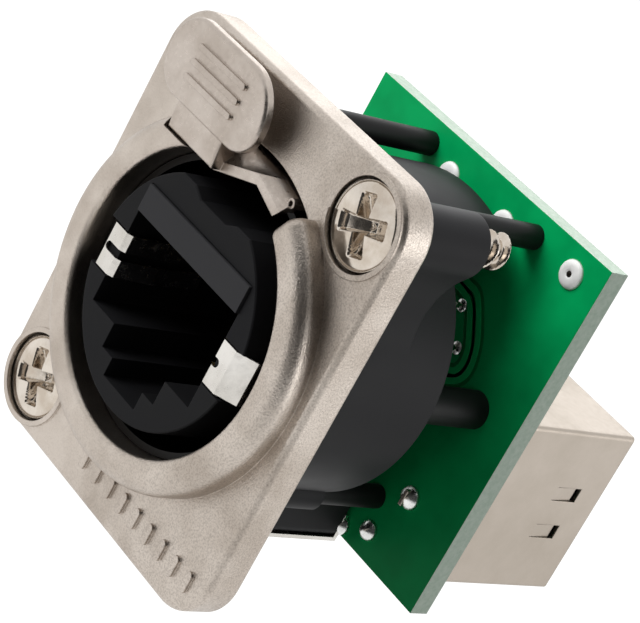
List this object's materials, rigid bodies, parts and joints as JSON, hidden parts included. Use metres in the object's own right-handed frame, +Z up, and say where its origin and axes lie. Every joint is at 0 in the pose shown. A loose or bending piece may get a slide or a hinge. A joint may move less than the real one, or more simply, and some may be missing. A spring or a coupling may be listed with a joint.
{
  "type": "ethernet panel connector",
  "caption": "Panel-mount network feedthrough: collared flange with a sprung release lever, round jack insert, rear housing, circuit board and shielded rear jack.",
  "frame": {"origin": "centre of the flange's bore, in the flange's back face", "axes": "+X to the right as seen from the front, +Y from the front back into the panel, +Z up"},
  "size_m": [0.026, 0.0398, 0.0311],
  "materials": {
    "satin_nickel": "satin nickel plate with a fine grain",
    "lever_nickel": "smooth satin nickel plate",
    "steel": "drawn steel",
    "spring_steel": "spring wire",
    "liner_black": "black moulding",
    "insert_charcoal": "matte dark grey moulding",
    "comb_charcoal": "matte dark grey moulding",
    "shield_nickel": "bright nickel strip",
    "gold_contact": "gold-plated spring wire",
    "housing_black": "matte black moulding",
    "bright_nickel": "bright nickel plate",
    "standoff_black": "black moulding",
    "strip_nickel": "bright plated strip",
    "board_green": "glossy green solder mask",
    "solder": "bright solder",
    "shell_tin": "tin-plated sheet",
    "rear_jack_black": "black moulding"
  },
  "bodies": {
    "connector": {"front_flange": "satin_nickel", "lever_pin": "steel", "inner_sleeve": "liner_black", "jack_insert": "insert_charcoal", "contact_comb": "comb_charcoal", "left_shield_contact": "shield_nickel", "right_shield_contact": "shield_nickel", "front_contacts": "gold_contact", "rear_housing": "housing_black", "mounting_screws": "bright_nickel", "upper_standoffs": "standoff_black", "side_standoffs": "standoff_black", "lower_standoffs": "standoff_black", "ground_strip": "strip_nickel", "circuit_board": "board_green", "plated_pads": "solder", "solder_joints": "solder", "rear_jack_shell": "shell_tin", "rear_jack_housing": "rear_jack_black", "rear_contacts": "gold_contact", "ground_pins": "strip_nickel"},
    "lever": {"push_lever": "lever_nickel", "lever_spring": "spring_steel"}
  },
  "joints": [
    {"name": "lever_hinge", "type": "hinge", "parent": "connector", "child": "lever", "pos_m": [-0.0043, 0.0008, 0.0107], "axis": [-1, 0, 0], "range_deg": [0, 4], "stiffness_Nm_per_rad": 0.05, "springref_deg": -11.46}
  ]
}
